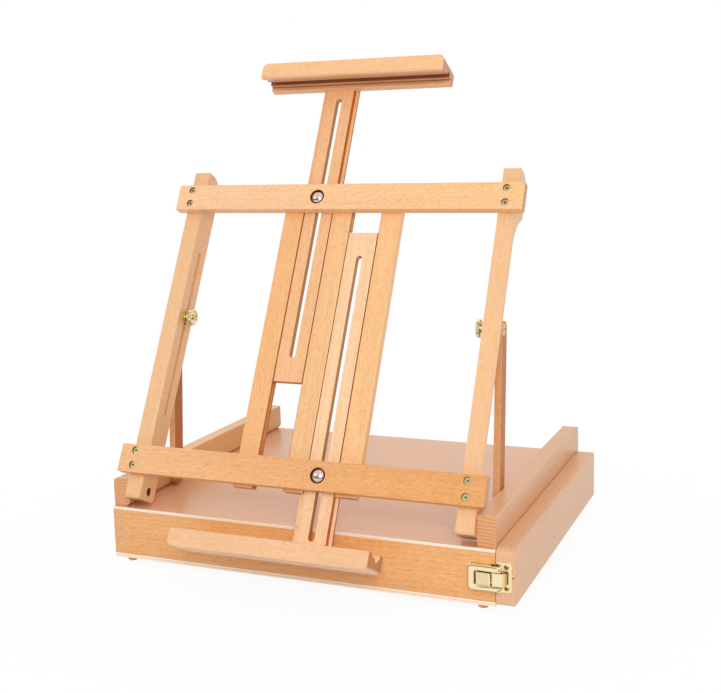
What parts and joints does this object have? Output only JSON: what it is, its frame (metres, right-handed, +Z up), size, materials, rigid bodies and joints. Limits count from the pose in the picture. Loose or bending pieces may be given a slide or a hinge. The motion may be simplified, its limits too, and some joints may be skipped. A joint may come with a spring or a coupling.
{
  "type": "table box easel",
  "caption": "Wooden table easel on a box with a side drawer: a leaning frame that folds flat, with two sliding masts that grip a canvas.",
  "frame": {"origin": "on the table, under the middle of the whole easel as pictured", "axes": "+Z up, +X to the viewer's right and the way the drawer opens, +Y from the front wall to the back"},
  "size_m": [0.4202, 0.4022, 0.5033],
  "materials": {
    "beech": "satin lacquer",
    "beech_rail": "satin lacquer",
    "beech_veneer_plywood": "satin lacquer",
    "plywood_bottom": "satin",
    "foot": "matte",
    "drawer_wood": "satin",
    "drawer_plywood": "satin",
    "beech_frame": "satin lacquer",
    "beech_mast": "satin lacquer",
    "beech_holder": "satin lacquer",
    "brass": "polished",
    "latch_brass": "polished",
    "nickel": "polished"
  },
  "bodies": {
    "box": {"front_wall": "beech", "back_wall": "beech", "left_wall": "beech", "top_panel": "beech_veneer_plywood", "bottom_panel": "plywood_bottom", "left_rail": "beech_rail", "right_rail": "beech_rail", "feet": "foot", "pivot_bolts": "brass", "strut_pivot_screws": "brass", "latch_base": "latch_brass"},
    "drawer": {"drawer_front": "beech", "drawer_front_side": "drawer_wood", "drawer_rear_side": "drawer_wood", "drawer_end": "drawer_wood", "drawer_bottom": "drawer_plywood", "drawer_long_divider": "drawer_wood", "drawer_cross_dividers": "drawer_wood", "latch_strike": "latch_brass", "latch_strike_screws": "latch_brass"},
    "easel_frame": {"left_upright": "beech_frame", "right_upright": "beech_frame", "upper_crossbar": "beech_frame", "lower_crossbar": "beech_frame", "crossbar_screws": "brass", "left_guide": "beech_frame", "centre_guide": "beech_frame", "right_guide": "beech_frame", "upper_carriage_bolt": "nickel", "lower_carriage_bolt": "nickel", "mast_washers": "brass"},
    "upper_mast_body": {"upper_mast": "beech_mast", "top_clamp": "beech_holder", "top_clamp_screws": "brass"},
    "lower_mast_body": {"lower_mast": "beech_mast", "tray": "beech_holder", "tray_screws": "brass"},
    "upper_mast_nut_body": {"upper_mast_nut": "brass"},
    "lower_mast_nut_body": {"lower_mast_nut": "brass"},
    "left_strut_body": {"left_strut": "beech_frame", "left_strut_bolt": "brass"},
    "right_strut_body": {"right_strut": "beech_frame", "right_strut_bolt": "brass"},
    "left_slider": {"left_stud": "brass"},
    "right_slider": {"right_stud": "brass"},
    "left_nut_body": {"left_thumb_nut": "brass"},
    "right_nut_body": {"right_thumb_nut": "brass"},
    "latch_lever_body": {"latch_lever": "latch_brass"},
    "latch_strap_body": {"latch_strap": "latch_brass"}
  },
  "joints": [
    {"name": "drawer_slide", "type": "slide", "parent": "box", "child": "drawer", "axis": [1, 0, 0], "range_m": [0, 0.29]},
    {"name": "easel_tilt", "type": "hinge", "parent": "box", "child": "easel_frame", "pos_m": [-0.0093, -0.13319, 0.0728], "axis": [1, 0, 0], "range_deg": [-62, 3.5]},
    {"name": "left_strut_swing", "type": "hinge", "parent": "box", "child": "left_strut_body", "pos_m": [-0.18475, -0.05749, 0.0728], "axis": [1, 0, 0], "range_deg": [-85.64, 4.88]},
    {"name": "right_strut_swing", "type": "hinge", "parent": "box", "child": "right_strut_body", "pos_m": [0.16615, -0.05749, 0.0728], "axis": [1, 0, 0], "range_deg": [-85.64, 4.88]},
    {"name": "left_stud_slide", "type": "slide", "parent": "easel_frame", "child": "left_slider", "axis": [0, 0.4695, 0.8829], "range_m": [-0.00316, 0.05422]},
    {"name": "right_stud_slide", "type": "slide", "parent": "easel_frame", "child": "right_slider", "axis": [0, 0.4695, 0.8829], "range_m": [-0.00316, 0.05422]},
    {"name": "left_thumb_nut_turn", "type": "hinge", "parent": "left_slider", "child": "left_nut_body", "pos_m": [-0.16925, -0.04466, 0.23931], "axis": [1, 0, 0], "continuous": true},
    {"name": "right_thumb_nut_turn", "type": "hinge", "parent": "right_slider", "child": "right_nut_body", "pos_m": [0.15065, -0.04466, 0.23931], "axis": [-1, 0, 0], "continuous": true},
    {"name": "upper_mast_slide", "type": "slide", "parent": "easel_frame", "child": "upper_mast_body", "axis": [0, 0.4695, 0.8829], "range_m": [-0.1135, 0.165]},
    {"name": "lower_mast_slide", "type": "slide", "parent": "easel_frame", "child": "lower_mast_body", "axis": [0, 0.4695, 0.8829], "range_m": [-0.024, 0.0485]},
    {"name": "upper_mast_nut_turn", "type": "hinge", "parent": "easel_frame", "child": "upper_mast_nut_body", "pos_m": [-0.0354, 0.01526, 0.35199], "axis": [0, 0.8829, -0.4695], "continuous": true},
    {"name": "lower_mast_nut_turn", "type": "hinge", "parent": "easel_frame", "child": "lower_mast_nut_body", "pos_m": [0.0186, -0.11967, 0.09823], "axis": [0, 0.8829, -0.4695], "continuous": true},
    {"name": "latch_lever_swing", "type": "hinge", "parent": "box", "child": "latch_lever_body", "pos_m": [0.19645, -0.14829, 0.0328], "axis": [0, 0, 1], "range_deg": [0, 100]},
    {"name": "latch_strap_swing", "type": "hinge", "parent": "latch_lever_body", "child": "latch_strap_body", "pos_m": [0.19045, -0.15039, 0.0328], "axis": [0, 0, 1], "range_deg": [-125, 0]}
  ],
  "couplings": [
    {"joint": "left_strut_swing", "follows": "easel_tilt", "ratio": 1.3805},
    {"joint": "right_strut_swing", "follows": "easel_tilt", "ratio": 1.3805},
    {"joint": "left_stud_slide", "follows": "easel_tilt", "m_per_rad": -0.050014},
    {"joint": "right_stud_slide", "follows": "easel_tilt", "m_per_rad": -0.050014},
    {"joint": "latch_strap_swing", "follows": "latch_lever_swing", "ratio": -1.25}
  ]
}
